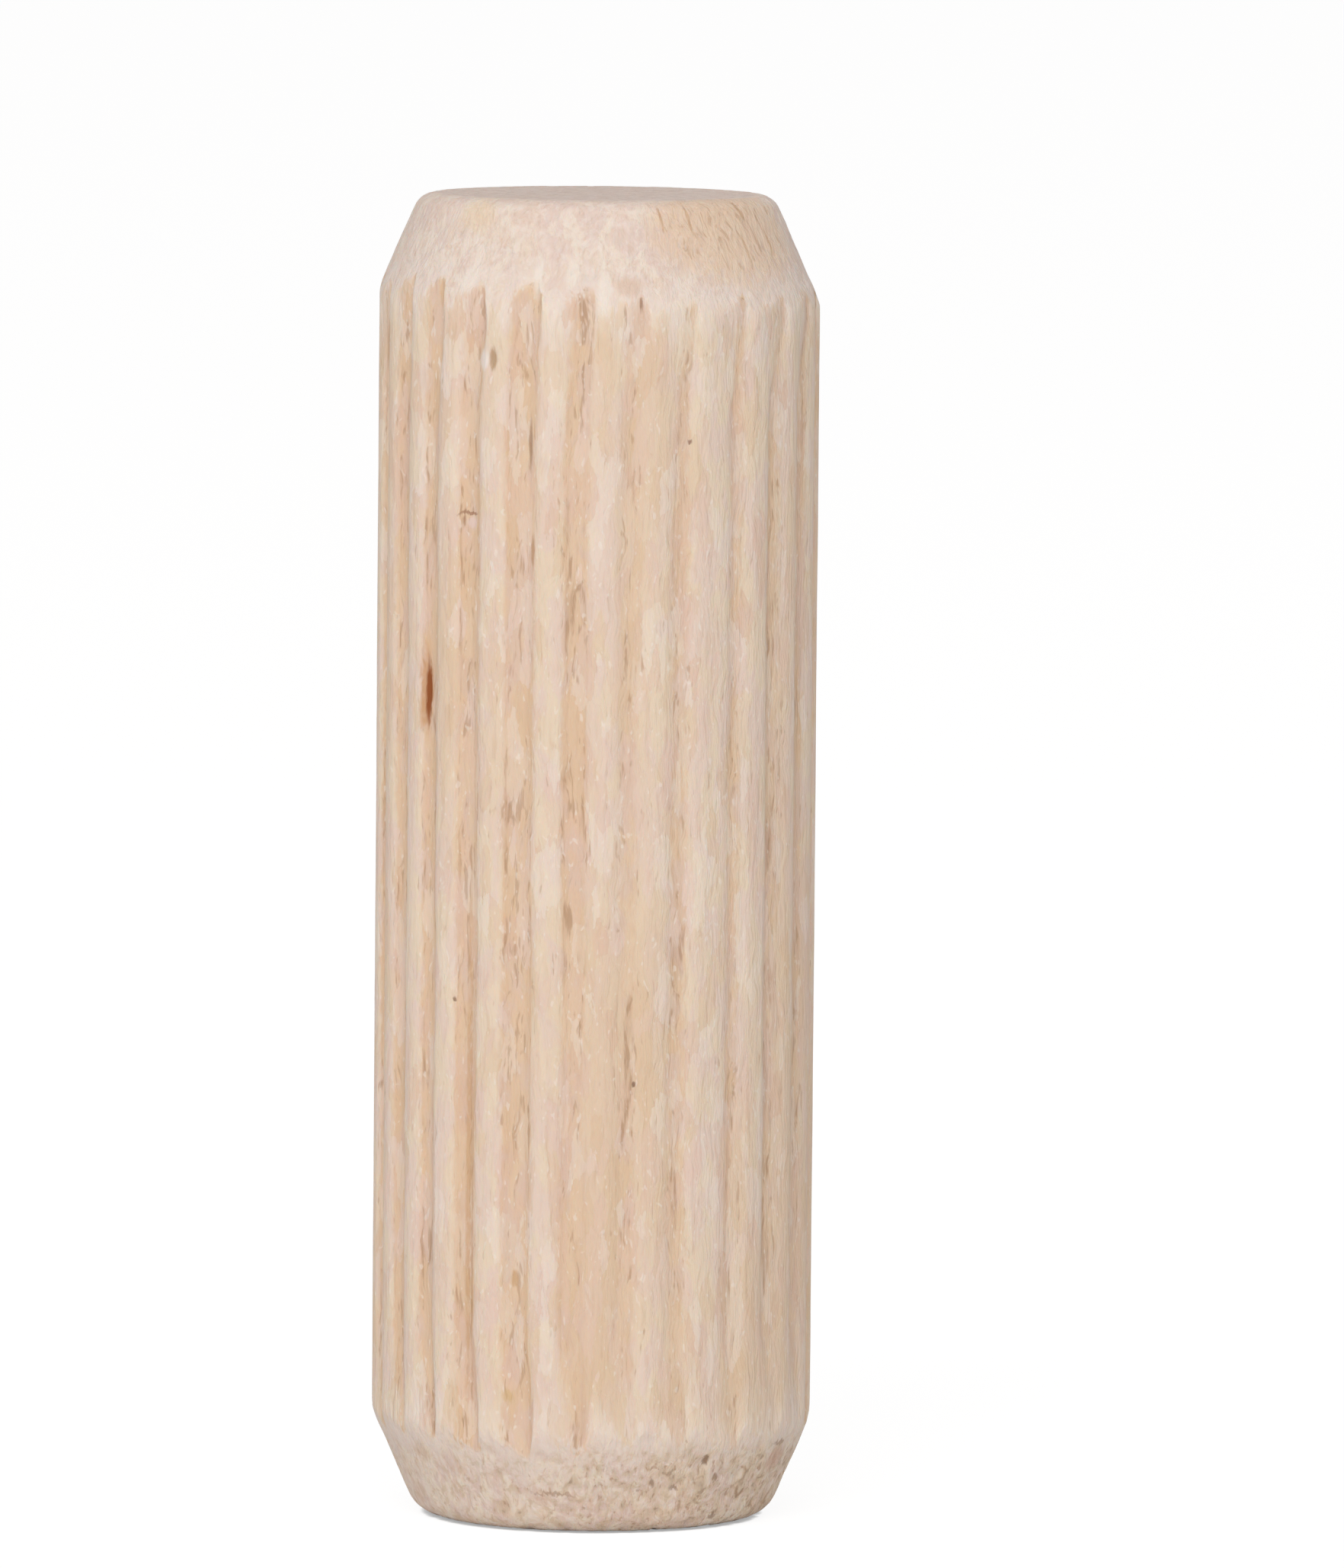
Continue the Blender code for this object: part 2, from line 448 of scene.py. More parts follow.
def dent_depth(place):
    """How deep the listed dents are at a place, which is first moved out to the round pin."""
    out_to_pin = PIN_RADIUS / max(1.0, place.xy.length)
    depth = 0.0
    for degrees, height, width, length, deepest in DENTS:
        if abs(place.z - height) < length:
            on_round_pin = Vector((place.x * out_to_pin, place.y * out_to_pin, place.z))
            away = on_round_pin - around_pin(degrees, height)
            spread = away.xy.length_squared / (width / 2) ** 2 + (away.z / (length / 2)) ** 2
            depth = max(depth, deepest * math.exp(-1.2 * spread))
    return depth


print("dents:", len(DENTS), "the deepest", max(dent[4] for dent in DENTS), "mm")

# %% Depth of the wood's own relief
def fibre_depth(place, on_crown):
    """Raised and fallen fibres along the shaft, calmer on a pressed ridge than in a flute."""
    coarse = 0.5 + 0.5 * drift(place.x * 2.6, place.y * 2.6, place.z * 0.22)
    fine = 0.5 + 0.5 * drift(place.x * 7.0, place.y * 7.0, place.z * 0.9)
    lift = 0.026 * coarse + 0.018 * fine
    return lift * (1.0 - 0.6 * on_crown)


def torn_depth(place):
    """Torn grain on a turned point: a rough skin with pits, worst on the lower right side."""
    side = place.x / PIN_RADIUS
    rough = 0.75 + 0.55 * side if place.z < PIN_LENGTH / 2 else 0.3 + 0.25 * side
    skin = 0.5 + 0.5 * drift(place.x * 2.2, place.y * 2.2, place.z * 2.0)
    grit = 0.5 + 0.5 * drift(place.x * 6.0, place.y * 6.0, place.z * 5.0)
    pit = max(0.0, drift(place.x * 3.3 + 7, place.y * 3.3, place.z * 2.4) - 0.25)
    return 0.012 * skin + 0.014 * grit * (0.5 + rough) + 0.16 * pit * rough


def sawn_depth(place):
    """The end face: faint saw lines right across it and open vessels between them."""
    line = 0.5 + 0.5 * drift(place.y * 5.0 + 0.4 * place.x, 3.0, place.z)
    pore = max(0.0, drift(place.x * 5.0, place.y * 5.0, place.z) - 0.3)
    return 0.010 * line + 0.10 * pore


print("fibres in a flute at mid height:", round(fibre_depth(Vector((0, -4.8, 15)), 0), 3), "mm deep")

# %% Push every corner in
bm.normal_update()
SOFT_EDGE = 0.36  # over how many mm the relief of the shaft gives way to that of a point
pushed = []
for corner in bm.verts:
    turned = held(0.5 + corner[past_flute] / SOFT_EDGE)
    depth = fibre_depth(corner.co, corner[crown]) * (1 - turned)
    depth += torn_depth(corner.co) * (turned - corner[sawn]) + sawn_depth(corner.co) * corner[sawn]
    depth += dent_depth(corner.co)
    pushed.append(depth)
    corner.co -= corner.normal * depth
print("mean and deepest push:", round(sum(pushed) / len(pushed), 4), round(max(pushed), 3), "mm")

# %% Make the pin an object in metres
bmesh.ops.scale(bm, verts=bm.verts, vec=(MM, MM, MM))
for face in bm.faces:
    face.smooth = True
pin_mesh = bpy.data.meshes.new("beech_pin")
bm.to_mesh(pin_mesh)
bm.free()
pin = bpy.data.objects.new("beech_pin", pin_mesh)
bpy.context.scene.collection.objects.link(pin)
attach(pin, "root")
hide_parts("dowel_pin")
print("pin's size:", [round(size / MM, 3) for size in pin.dimensions], "mm")

# %% [markdown]
# ## Colour and node helpers
# Colours are given as sRGB hex, and Blender's nodes want them linear. Nodes are added by
# one small function that takes the settings and the links in one place, so that a material reads
# from top to bottom like a recipe. A link is simply the result of an earlier node.

# %% Two helpers
def linear(colour):
    """An sRGB hex colour as the linear red, green, blue and alpha that nodes take."""
    channels = [int(colour[at : at + 2], 16) / 255 for at in (1, 3, 5)]
    return [c / 12.92 if c <= 0.04045 else ((c + 0.055) / 1.055) ** 2.4 for c in channels] + [1.0]


def add_node(tree, kind, settings=None, result=None, **inputs):
    """Add a node with its settings and links, and give back one of its outputs."""
    node = tree.nodes.new(kind)
    for name, value in (settings or {}).items():
        setattr(node, name, value)
    for name, value in inputs.items():
        if name[1:].isdigit():
            socket = node.inputs[int(name[1:])]
        else:
            socket = next(s for s in node.inputs if s.enabled and s.name == name.replace("_", " "))
        if isinstance(value, bpy.types.NodeSocket):
            tree.links.new(value, socket)
        else:
            socket.default_value = value
    if result:
        return node.outputs[result]
    return next((socket for socket in node.outputs if socket.enabled), None)


print("a cream, linear:", [round(c, 3) for c in linear("#E4CDB8")])

# %% [markdown]
# ## Beech, pressed, turned and sawn
# The wood is untreated beech: no varnish, so it is rough and its gloss is dull. Its grain runs
# along the pin, so every pattern is a wave in space that is some hundredths of a millimetre wide
# and much longer along Z. Because it is a pattern in space, the same fibres show as streaks on
# the shaft, as dashes on the cones and as dots on the end faces, as they do in real wood.

# %% Start the wood, and ask the skin what was done to it
wood = bpy.data.materials.new("untreated_beech")
wood.use_nodes = True
tree = wood.node_tree
tree.nodes.clear()
in_metres = add_node(tree, "ShaderNodeTexCoord", result="Object")
in_mm = add_node(tree, "ShaderNodeMapping", Vector=in_metres, Scale=(1000, 1000, 1000))
on_crown = add_node(tree, "ShaderNodeAttribute", {"attribute_name": "crown"}, "Fac")
past_flutes = add_node(tree, "ShaderNodeAttribute", {"attribute_name": "past_flute"}, "Fac")
on_sawn = add_node(tree, "ShaderNodeAttribute", {"attribute_name": "sawn"}, "Fac")
print("attributes of the skin:", [layer.name for layer in pin_mesh.attributes if not layer.is_internal])

# %% Patterns of the wood
# Each pattern: how wide and how long one wave of it is in millimetres, how finely it is
# detailed, and how far it leans from the grain in degrees
PATTERNS = {
    "growth": (1.50, 14.0, 1.0, 0),
    "tint": (0.45, 1.10, 2.0, 0),
    "fibres": (0.14, 1.30, 2.0, 0),
    "vessels": (0.095, 0.80, 2.0, 0),
    "vessel_beds": (0.55, 2.40, 1.0, 0),
    "flecks": (0.10, 0.22, 1.0, 0),
    "torn": (0.11, 0.34, 2.0, 0),
    "slanted": (0.10, 0.75, 1.0, -24),
    "pits": (0.26, 0.26, 2.0, 0),
}
# The grain itself strays a little to and fro, so no pattern is quite straight
stretched = add_node(
    tree, "ShaderNodeMapping", {"vector_type": "TEXTURE"}, Vector=in_mm, Scale=(0.5, 0.5, 1.0)
)
strays = add_node(
    tree, "ShaderNodeTexNoise", result="Color", Vector=stretched, Scale=1.0, Detail=1.0
)
straying = add_node(
    tree,
    "ShaderNodeVectorMath",
    {"operation": "MULTIPLY_ADD"},
    _0=strays,
    _1=(0.30, 0.30, 0.60),
    _2=in_mm,
)
grain = {}
for number, (name, (width, length, detail, lean)) in enumerate(PATTERNS.items()):
    waves = add_node(
        tree,
        "ShaderNodeMapping",
        {"vector_type": "TEXTURE"},
        Vector=straying,
        Scale=(width, width, length),
        Rotation=(0.006, math.radians(0.6 + lean), 0),
        Location=(9.3 * number, 5.1 * number, 0),
    )
    grain[name] = add_node(
        tree, "ShaderNodeTexNoise", Vector=waves, Scale=1.0, Detail=detail, Roughness=0.6
    )
print("patterns:", list(grain))

# %% [markdown]
# Wood also breaks in small scraps: bundles of fibres that parted at different depths, each with a
# tone of its own and a sharp edge. Noise can't do that, because it is smooth. A Voronoi texture
# gives each of its cells one value, so long narrow cells with ragged outlines are used for them.

# %% Scraps of broken fibres
SCRAP_SIZES = (0.30, 0.30, 1.00)
ragged_place = add_node(
    tree,
    "ShaderNodeVectorMath",
    {"operation": "MULTIPLY_ADD"},
    _0=grain["torn"].node.outputs["Color"],
    _1=(0.16, 0.16, 0.50),
    _2=in_mm,
)
scrap_waves = add_node(
    tree, "ShaderNodeMapping", {"vector_type": "TEXTURE"}, Vector=ragged_place, Scale=SCRAP_SIZES
)
scrap_values = add_node(tree, "ShaderNodeTexVoronoi", Vector=scrap_waves, Scale=1.0, result="Color")
scraps = add_node(tree, "ShaderNodeSeparateColor", Color=scrap_values).node.outputs
print("a scrap is about", SCRAP_SIZES[0], "by", SCRAP_SIZES[2], "mm")


# %% How one colour is laid over another
def glaze(below, colour, pattern, low, high, most=1.0):
    """Lay a colour over what is there, from none where a pattern is low to most where it is high."""
    share = add_node(
        tree,
        "ShaderNodeMapRange",
        {"interpolation_type": "SMOOTHSTEP"},
        Value=pattern,
        From_Min=low,
        From_Max=high,
        To_Max=most,
    )
    return add_node(tree, "ShaderNodeMix", {"data_type": "RGBA"}, Factor=share, A=below, B=colour)


print("a glaze takes a colour below, a colour above, a pattern, two limits and a strength")

# %% Colours of the flutes and ridges
flutes = glaze(linear("#E3C5A7"), linear("#E5CAAE"), grain["growth"], 0.38, 0.62)
flutes = glaze(flutes, linear("#E1C6B1"), grain["tint"], 0.46, 0.62)
ridges = glaze(linear("#E8D5BE"), linear("#E6D1C2"), grain["tint"], 0.42, 0.58)
ridges = glaze(ridges, linear("#E2C8AC"), grain["growth"], 0.45, 0.68, 0.7)
# The ridges are palest where they come near the points
near_point = add_node(
    tree, "ShaderNodeMath", {"operation": "MULTIPLY_ADD"}, _0=grain["tint"], _1=1.6, _2=past_flutes
)
ridges = glaze(ridges, linear("#F0E5D8"), near_point, -0.2, 0.9, 0.5)
frayed = add_node(
    tree, "ShaderNodeMath", {"operation": "MULTIPLY_ADD"}, _0=grain["torn"], _1=0.7, _2=on_crown
)
shaft = glaze(flutes, ridges, frayed, 0.72, 1.08)
shaft = glaze(shaft, linear("#F0E4D9"), scraps["Red"], 0.74, 0.80, 0.30)
shaft = glaze(shaft, linear("#D9B690"), scraps["Green"], 0.72, 0.80, 0.24)
shaft = glaze(shaft, linear("#E2C0B0"), scraps["Blue"], 0.72, 0.80, 0.26)
shaft = glaze(shaft, linear("#CBA888"), grain["fibres"], 0.52, 0.78, 0.26)
print("nodes so far:", len(tree.nodes))

# %% Dark broken lines along the flutes' edges, partly dirt and partly painted shade low on the flanks, open vessels, and pale flecks
off_dirt_and_shade_line = add_node(tree, "ShaderNodeMath", {"operation": "SUBTRACT"}, _0=on_crown, _1=0.38)
off_dirt_and_shade_line = add_node(tree, "ShaderNodeMath", {"operation": "ABSOLUTE"}, _0=off_dirt_and_shade_line)
off_dirt_and_shade_line = add_node(
    tree, "ShaderNodeMath", {"operation": "MULTIPLY_ADD"}, _0=grain["vessel_beds"], _1=-0.9, _2=off_dirt_and_shade_line
)
off_dirt_and_shade_line = add_node(
    tree, "ShaderNodeMath", {"operation": "MULTIPLY_ADD"}, _0=grain["vessels"], _1=-0.6, _2=off_dirt_and_shade_line
)
# Partly dirt, partly painted shade: a broken dark line low on each flute's flank, where the flute's
# floor lies in shade
shaft = glaze(shaft, linear("#BD987A"), off_dirt_and_shade_line, -0.72, -0.92, 0.42)
in_flutes = add_node(
    tree, "ShaderNodeMapRange", Value=on_crown, From_Min=0.3, From_Max=1.0, To_Min=1.0, To_Max=0.45
)
beds = add_node(
    tree, "ShaderNodeMath", {"operation": "MULTIPLY"}, _0=grain["vessel_beds"], _1=in_flutes
)
open_vessels = add_node(
    tree, "ShaderNodeMath", {"operation": "MULTIPLY_ADD"}, _0=beds, _1=0.35, _2=grain["vessels"]
)
shaft = glaze(shaft, linear("#B38D6D"), open_vessels, 0.75, 0.87, 0.48)
shaft = glaze(shaft, linear("#F3E9DF"), grain["flecks"], 0.64, 0.74, 0.45)
print("nodes so far:", len(tree.nodes))

# %% Where the points are torn, and where painted shade darkens them: more on the right and most on the lower one
place_in_mm = add_node(tree, "ShaderNodeSeparateXYZ", Vector=in_mm).node.outputs
low_down = add_node(tree, "ShaderNodeMapRange", Value=place_in_mm["Z"], From_Min=3.2, From_Max=1.6)
to_the_right = add_node(
    tree,
    "ShaderNodeMapRange",
    Value=place_in_mm["X"],
    From_Min=-4.5,
    From_Max=4.0,
    To_Min=0.78,
    To_Max=1.0,
)
torn_and_shaded = add_node(tree, "ShaderNodeMath", {"operation": "MULTIPLY"}, _0=low_down, _1=to_the_right)
pitted = add_node(tree, "ShaderNodeMath", {"operation": "MULTIPLY"}, _0=torn_and_shaded, _1=grain["pits"])
scarred = add_node(tree, "ShaderNodeMath", {"operation": "MULTIPLY"}, _0=torn_and_shaded, _1=grain["torn"])
print("nodes so far:", len(tree.nodes))

# %% Colours of the turned points
points = glaze(linear("#EDE0CE"), linear("#DFC9BE"), grain["tint"], 0.42, 0.58)
points = glaze(points, linear("#E4CBAE"), grain["growth"], 0.50, 0.66, 0.55)
points = glaze(points, linear("#DFC0A2"), scraps["Green"], 0.74, 0.82, 0.35)
points = glaze(points, linear("#DFC3BA"), scraps["Blue"], 0.74, 0.82, 0.35)
points = glaze(points, linear("#DABFAA"), grain["pits"], 0.52, 0.62, 0.52)
points = glaze(points, linear("#F3EADE"), grain["pits"], 0.44, 0.34, 0.50)
points = glaze(points, linear("#C9A88C"), grain["torn"], 0.54, 0.70, 0.52)
points = glaze(points, linear("#F3EADF"), grain["torn"], 0.46, 0.34, 0.36)
points = glaze(points, linear("#BE9B80"), grain["vessels"], 0.64, 0.74, 0.45)
points = glaze(points, linear("#F4EBE2"), grain["flecks"], 0.62, 0.74, 0.5)
# Pale lips of wood stand where the cutter left the ends of the flutes
lips = add_node(
    tree, "ShaderNodeMath", {"operation": "MULTIPLY_ADD"}, _0=grain["tint"], _1=-1.6, _2=past_flutes
)
points = glaze(points, linear("#F0E6DB"), lips, 0.0, -0.6, 0.55)
# Painted shade: the lower point darker overall, most low down and towards the right, away from the lamp
points = glaze(points, linear("#DBC5B4"), torn_and_shaded, 0.1, 1.0, 0.30)
points = glaze(points, linear("#CFBC9F"), pitted, 0.43, 0.56, 0.42)
points = glaze(points, linear("#E8D6CB"), pitted, 0.40, 0.28, 0.50)
points = glaze(points, linear("#AC8C73"), scarred, 0.54, 0.66, 0.52)
points = glaze(points, linear("#94745B"), pitted, 0.58, 0.68, 0.45)
print("nodes so far:", len(tree.nodes))

# %% Colours of the sawn ends, and all of them together
ends = glaze(linear("#DCC8BC"), linear("#E6D4C9"), grain["pits"], 0.38, 0.62)
ends = glaze(ends, linear("#A68973"), grain["vessels"], 0.60, 0.76, 0.45)
# A flute ends in a crisp tongue, but a ridge runs into the cone with a wide frayed change
late = add_node(
    tree, "ShaderNodeMath", {"operation": "MULTIPLY_ADD"}, _0=on_crown, _1=-0.10, _2=past_flutes
)
fray_width = add_node(
    tree, "ShaderNodeMath", {"operation": "MULTIPLY_ADD"}, _0=on_crown, _1=0.90, _2=0.14
)
fray = add_node(
    tree, "ShaderNodeMath", {"operation": "MULTIPLY_ADD"}, _0=grain["torn"], _1=0.5, _2=-1.0
)
fray = add_node(
    tree, "ShaderNodeMath", {"operation": "MULTIPLY_ADD"}, _0=grain["fibres"], _1=1.5, _2=fray
)
turned_off = add_node(
    tree, "ShaderNodeMath", {"operation": "MULTIPLY_ADD"}, _0=fray, _1=fray_width, _2=late
)
sawn_off = add_node(
    tree, "ShaderNodeMath", {"operation": "MULTIPLY_ADD"}, _0=grain["pits"], _1=0.9, _2=on_sawn
)
colour = glaze(shaft, points, turned_off, -0.08, 0.12)
colour = glaze(colour, ends, sawn_off, 0.85, 1.05)
print("nodes so far:", len(tree.nodes))

# %% [markdown]
# No two pins are alike. This one has a brown resin speck with a paler border, a chipped pit, a
# hooked scrape, small dots, ochre spots and a long thin resin streak. Its points have pale lips
# between the flutes, pits and lines that the cutter dragged. Each mark is at a place that is given
# by its direction and height on the pin, and the fibres fray its outline.

# %% Marks that this pin has
off_axis = add_node(tree, "ShaderNodeVectorMath", {"operation": "MULTIPLY"}, _0=in_mm, _1=(1, 1, 0))
outward = add_node(tree, "ShaderNodeVectorMath", {"operation": "NORMALIZE"}, _0=off_axis)
height_only = add_node(tree, "ShaderNodeVectorMath", {"operation": "MULTIPLY"}, _0=in_mm, _1=(0, 0, 1))
on_round_pin = add_node(
    tree,
    "ShaderNodeVectorMath",
    {"operation": "MULTIPLY_ADD"},
    _0=outward,
    _1=(PIN_RADIUS, PIN_RADIUS, 0),
    _2=height_only,
)

LONG_MARK = 2.0  # mm from which a mark is also broken up
FRAY = Vector((0.07, 0.07, 0.35))  # mm over which the fibres push a mark's outline
# The fibres push a mark's outline to and fro, and break a long one where they are torn
frayed_place = add_node(
    tree,
    "ShaderNodeVectorMath",
    {"operation": "MULTIPLY_ADD"},
    _0=grain["torn"].node.outputs["Color"],
    _1=FRAY,
    _2=on_round_pin,
)
unbroken = add_node(
    tree,
    "ShaderNodeMapRange",
    Value=grain["torn"],
    From_Min=0.68,
    From_Max=0.36,
    To_Min=0.4,
    To_Max=1.4,
)


def mark(degrees, height, width, length, lean=0):
    """How near a spot on the skin is to a mark's middle: 1 or more there, 0 at its frayed edge."""
    turn = Matrix.Rotation(math.radians(degrees), 3, "Z") @ Matrix.Rotation(math.radians(lean), 3, "Y")
    own_axes = add_node(
        tree,
        "ShaderNodeMapping",
        {"vector_type": "TEXTURE"},
        Vector=frayed_place,
        Location=around_pin(degrees, height) + FRAY / 2,
        Rotation=tuple(turn.to_euler()),
        Scale=(width / 2, width / 2, length / 2),
    )
    near = add_node(
        tree, "ShaderNodeTexGradient", {"gradient_type": "SPHERICAL"}, "Fac", Vector=own_axes
    )
    if length < LONG_MARK:
        return near
    return add_node(tree, "ShaderNodeMath", {"operation": "MULTIPLY"}, _0=near, _1=unbroken)


# Each mark: direction in degrees, height, width and length in mm, how far it leans from upright
# towards the right in degrees, colour and how strong it is
MARKS = [
    (-36.4, 8.6, 0.26, 15.0, 0, "#CFA478", 0.60),
    (-34.8, 6.4, 0.11, 9.0, 0, "#BF8F62", 0.45),
    (-52.2, 18.95, 0.46, 2.60, 0, "#CB9A6C", 0.70),
    (-51.7, 18.90, 0.20, 1.90, 0, "#96552A", 1.00),
    (-29.6, 26.46, 0.28, 0.62, 0, "#B9946F", 0.75),
    (-32.6, 26.44, 0.46, 0.66, 0, "#EFE5DD", 0.80),
    (-37.7, 22.98, 0.70, 0.10, 0, "#A5795F", 0.75),
    (-39.2, 22.80, 0.09, 0.34, 0, "#AC8469", 0.65),
    (-37.0, 22.78, 0.40, 0.34, 0, "#E9D2CC", 0.65),
    (23.4, 24.68, 0.13, 0.15, 0, "#9A7462", 0.80),
    (9.6, 10.25, 0.14, 0.15, 0, "#8E6A54", 0.85),
    (-40.6, 12.05, 0.12, 0.12, 0, "#8F6B52", 0.80),
    (-22.0, 5.85, 0.22, 0.50, 0, "#CBA275", 0.65),
    (-23.6, 3.20, 0.34, 0.44, 0, "#D8B888", 0.60),
    (-19.4, 24.60, 0.12, 1.60, 0, "#B38D6E", 0.75),
    (-18.2, 22.20, 0.15, 1.00, 0, "#BA8F6B", 0.70),
    # the upper point: pale lips by the flutes, scars on them, and lines where the cutter dragged
    (-18.0, 28.25, 0.30, 1.20, 0, "#F1E8DD", 0.60),
    (-8.5, 28.40, 0.50, 0.80, 14, "#F0E6DA", 0.55),
    (0.2, 28.00, 0.46, 1.50, 0, "#F1E8DD", 0.60),
    (-38.5, 28.25, 0.60, 1.10, 25, "#EFE4D8", 0.60),
    (-42.0, 29.60, 1.60, 1.00, 0, "#E9D3B6", 0.60),
    (6.8, 28.12, 0.90, 0.60, 0, "#D9BAA2", 0.55),
    (9.9, 27.72, 0.13, 0.46, 0, "#A98268", 0.75),
    (18.0, 29.60, 0.12, 0.70, -10, "#BF9878", 0.85),
    (27.6, 29.58, 0.13, 1.00, -9, "#BB9474", 0.85),
    (49.4, 29.72, 0.22, 0.60, -24, "#AD845F", 0.90),
    (47.0, 28.90, 0.14, 1.00, -6, "#BC9673", 0.70),
    (59.4, 29.00, 0.15, 0.72, -5, "#B58E6C", 0.75),
    # the lower point: pits on the right, and a scrape like an arch on the left
    (32.2, 1.70, 0.24, 0.30, 0, "#8E6F56", 0.80),
    (36.8, 1.28, 0.22, 0.20, 0, "#93755C", 0.70),
    (16.8, 1.18, 0.18, 0.24, 0, "#93765F", 0.70),
    (24.2, 1.06, 0.30, 0.14, 0, "#957760", 0.65),
    (40.4, 0.34, 0.36, 0.16, 0, "#8B6D55", 0.65),
    (-11.5, 0.95, 1.50, 0.12, 0, "#B3957F", 0.65),
    (62.0, 1.50, 1.10, 0.80, 0, "#CDA594", 0.55),
    (61.0, 1.90, 0.80, 0.16, 0, "#9C7D67", 0.60),
]
for degrees, height, width, length, lean, tone, strength in MARKS:
    near = mark(degrees, height, width, length, lean)
    colour = glaze(colour, linear(tone), near, 0.0, 0.6, strength)

# The upper point's right side is a tan patch that the cutter scored aslant
patch = mark(44.0, 29.35, 6.6, 3.2)
patch = add_node(tree, "ShaderNodeMath", {"operation": "SUBTRACT"}, _0=patch, _1=on_sawn)
patch = add_node(tree, "ShaderNodeMapRange", Value=patch, From_Min=0.06, From_Max=0.46)
colour = glaze(colour, linear("#E6C8A8"), patch, 0.0, 1.0, 0.55)
scored = add_node(tree, "ShaderNodeMath", {"operation": "MULTIPLY"}, _0=patch, _1=grain["slanted"])
colour = glaze(colour, linear("#C39F80"), scored, 0.54, 0.70, 0.50)
print("marks:", len(MARKS), "and nodes in the wood:", len(tree.nodes))

# %% Relief too fine for the mesh, in millimetres
# How far each pattern's waves rise, and how far the scraps do; a negative one falls
RELIEF = {"fibres": 0.012, "vessels": -0.036, "flecks": 0.010, "torn": -0.020}
SCRAP_RISE = 0.010
height_of_skin = add_node(
    tree, "ShaderNodeMath", {"operation": "MULTIPLY"}, _0=scraps["Red"], _1=SCRAP_RISE
)
for name, rise in RELIEF.items():
    height_of_skin = add_node(
        tree,
        "ShaderNodeMath",
        {"operation": "MULTIPLY_ADD"},
        _0=grain[name],
        _1=rise,
        _2=height_of_skin,
    )
relief = add_node(tree, "ShaderNodeBump", Height=height_of_skin, Distance=MM, Strength=1.0)
dullness = add_node(tree, "ShaderNodeMapRange", Value=grain["fibres"], To_Min=0.62, To_Max=0.85)
surface = add_node(
    tree,
    "ShaderNodeBsdfPrincipled",
    Base_Color=colour,
    Roughness=dullness,
    Normal=relief,
    IOR=1.5,
    Specular_IOR_Level=0.3,
    Subsurface_Weight=0.4,
    Subsurface_Radius=(1.0, 0.6, 0.4),
    Subsurface_Scale=0.4 * MM,
)
add_node(tree, "ShaderNodeOutputMaterial", Surface=surface)
pin.data.materials.append(wood)
print("nodes in the finished wood:", len(tree.nodes))

# %% [markdown]
# ## The table and the light
# The pin stood on white paper between white walls: soft light from everywhere, a little more of
# it from the upper left in front. A wide pale floor and a white world do the same, and one large
# soft lamp makes the difference between the two sides. The paper also glows a little for the
# camera, because such pictures are exposed until their background is white, and its glow dims
# where the pin stands closest over it, a painted contact shadow.

# %% A pale floor
bm = bmesh.new()
bmesh.ops.create_circle(bm, cap_ends=True, segments=96, radius=3.0)
floor_mesh = bpy.data.meshes.new("paper_floor")
bm.to_mesh(floor_mesh)
bm.free()
floor = bpy.data.objects.new("paper_floor", floor_mesh)
bpy.context.scene.collection.objects.link(floor)
paper = bpy.data.materials.new("white_paper")
paper.use_nodes = True
sheet = paper.node_tree
sheet.nodes.clear()
matt = add_node(sheet, "ShaderNodeBsdfDiffuse", Color=linear("#F4F4F4"))
open_sky = add_node(
    sheet, "ShaderNodeAmbientOcclusion", {"samples": 4}, Distance=0.12 * MM, result="AO"
)
# Painted contact shadow: the paper's glow dims where the pin's base hides it from the sky
glow_with_painted_contact_shadow = add_node(
    sheet, "ShaderNodeMapRange", Value=open_sky, From_Min=0.3, From_Max=0.9, To_Min=0.45, To_Max=1.1
)
bright = add_node(sheet, "ShaderNodeEmission", Color=(1, 1, 1, 1), Strength=glow_with_painted_contact_shadow)
straight = add_node(sheet, "ShaderNodeLightPath", result="Is Camera Ray")
part_bright = add_node(sheet, "ShaderNodeMath", {"operation": "MULTIPLY"}, _0=straight, _1=0.82)
paper_look = add_node(sheet, "ShaderNodeMixShader", _0=part_bright, _1=matt, _2=bright)
add_node(sheet, "ShaderNodeOutputMaterial", Surface=paper_look)
floor.data.materials.append(paper)
print("floor's size:", [round(size, 2) for size in floor.dimensions], "m")

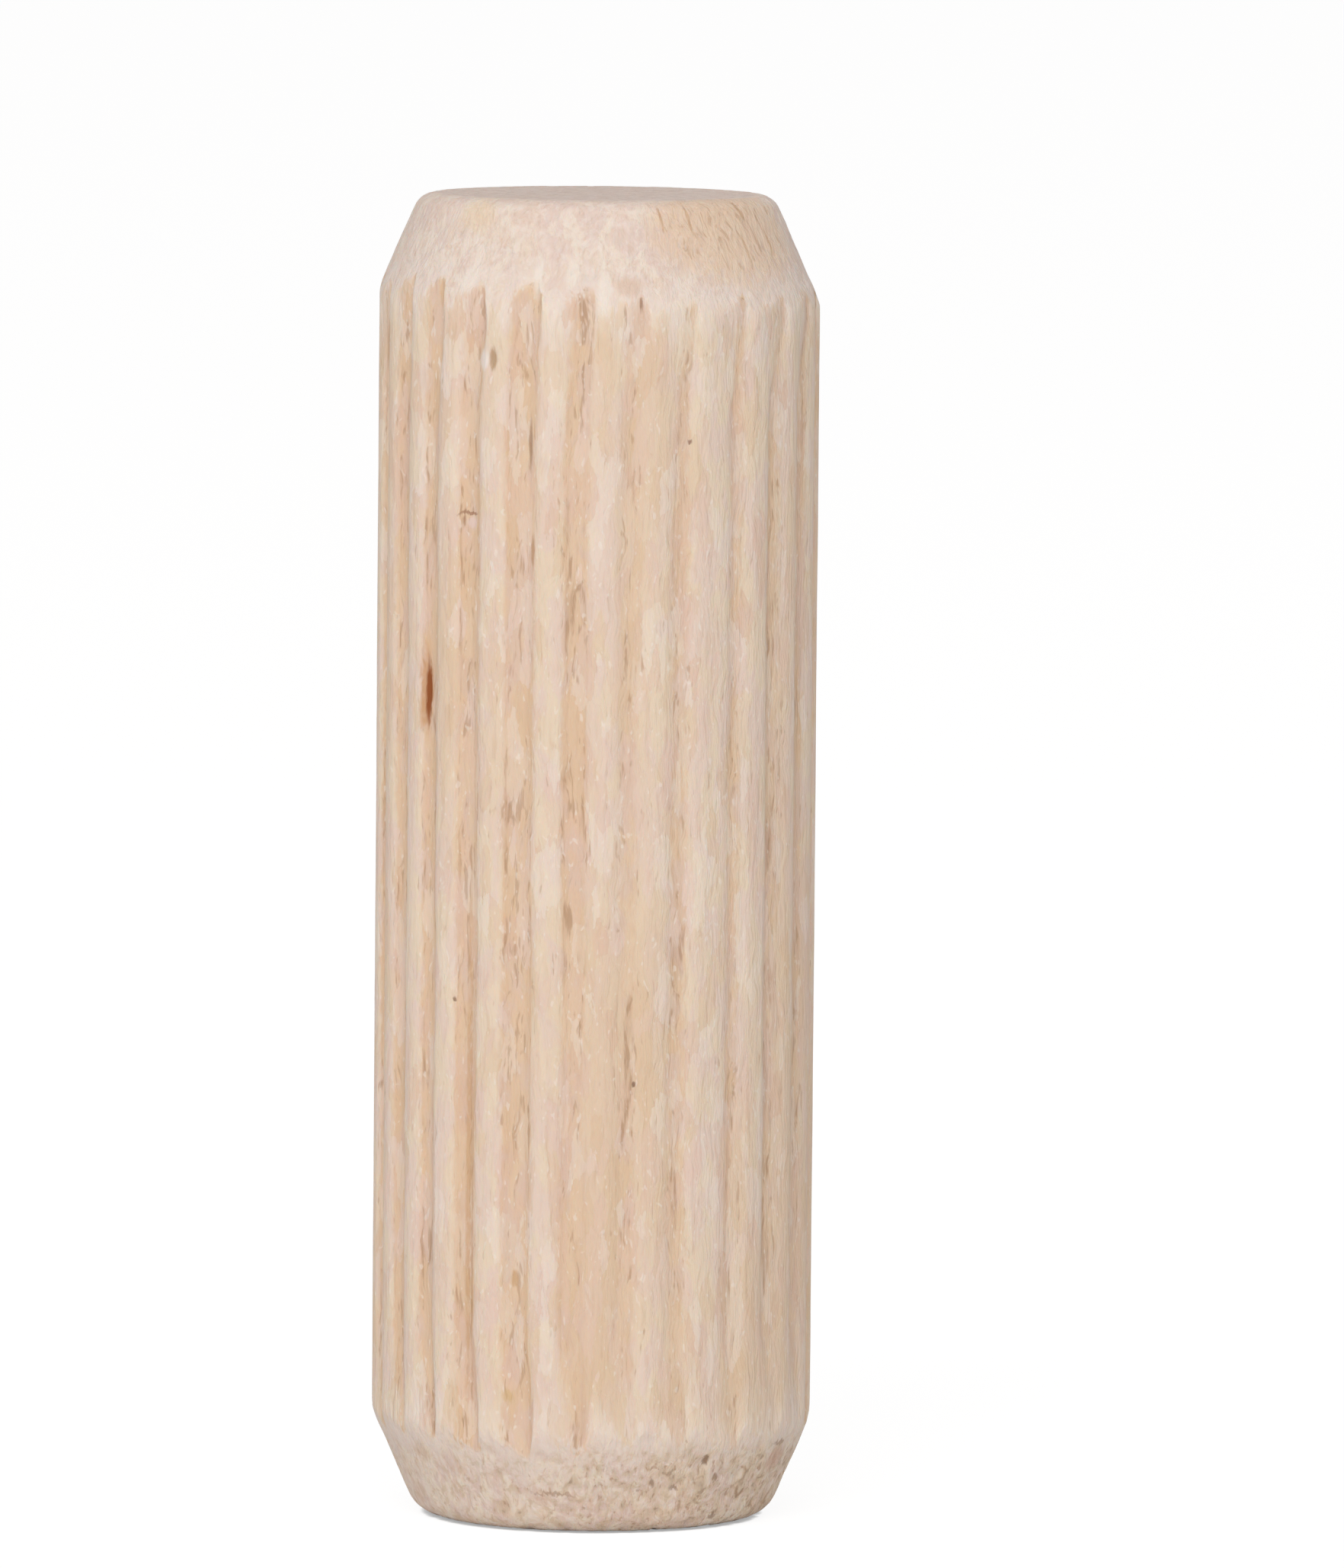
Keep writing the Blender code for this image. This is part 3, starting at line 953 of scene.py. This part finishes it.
# %% Soft light
world = bpy.data.worlds.new("white_room")
world.use_nodes = True
room = world.node_tree
seen = room.nodes["Background"]
seen.inputs["Color"].default_value = (1, 1, 1, 1)
seen.inputs["Strength"].default_value = 1.0
lighting = add_node(room, "ShaderNodeBackground", Color=(1, 0.972, 0.96, 1), Strength=0.49)
straight = add_node(room, "ShaderNodeLightPath", result="Is Camera Ray")
both = add_node(room, "ShaderNodeMixShader", _0=straight, _1=lighting, _2=seen.outputs[0])
room.links.new(both, room.nodes["World Output"].inputs["Surface"])
bpy.context.scene.world = world
bpy.context.scene.view_settings.view_transform = "Standard"


def soft_lamp(name, place, aim, size, power):
    """A square lamp at a place, in metres, turned to face another."""
    lamp = bpy.data.lights.new(name, "AREA")
    lamp.size = size
    lamp.energy = power
    holder = bpy.data.objects.new(name, lamp)
    holder.location = place
    holder.rotation_euler = (Vector(aim) - Vector(place)).to_track_quat("-Z", "Y").to_euler()
    bpy.context.scene.collection.objects.link(holder)
    print(name, "is", round((Vector(place) - Vector(aim)).length, 2), "m away")


soft_lamp("window_left", (-0.10, -0.50, 0.36), (0, 0, 0.015), 0.40, 2.0)

# %% [markdown]
# ## The camera
# The photograph was taken from close to the pin's own height with a long lens, a little from
# above. The camera stands where the two end faces show their measured narrowness, and it looks
# slightly past the pin, because the pin stands left of the picture's middle.

# %% The camera
DISTANCE = 0.348  # in metres from the pin's axis
EYE_HEIGHT = 0.0458  # in metres over the floor
FROM_FRONT = math.radians(-1.2)  # how far round from the front it stands
TURN_RIGHT = math.radians(0.2863)
LOOK_DOWN = math.radians(4.794)
TILT = math.radians(0.49)
camera_data = bpy.data.cameras.new("camera")
camera_data.lens = 353.8
camera_data.sensor_width = 36.0
camera_data.clip_start = 0.01
camera = bpy.data.objects.new("camera", camera_data)
camera.location = (DISTANCE * math.sin(FROM_FRONT), -DISTANCE * math.cos(FROM_FRONT), EYE_HEIGHT)
aside = Matrix.Rotation(FROM_FRONT - TURN_RIGHT, 4, "Z")
down = Matrix.Rotation(math.pi / 2 - LOOK_DOWN, 4, "X")
camera.rotation_euler = (aside @ down @ Matrix.Rotation(TILT, 4, "Z")).to_euler()
bpy.context.scene.collection.objects.link(camera)
bpy.context.scene.camera = camera
filled = PIN_LENGTH * MM / DISTANCE * camera_data.lens / camera_data.sensor_width
print("the pin fills", round(filled, 2), "of the picture's height")
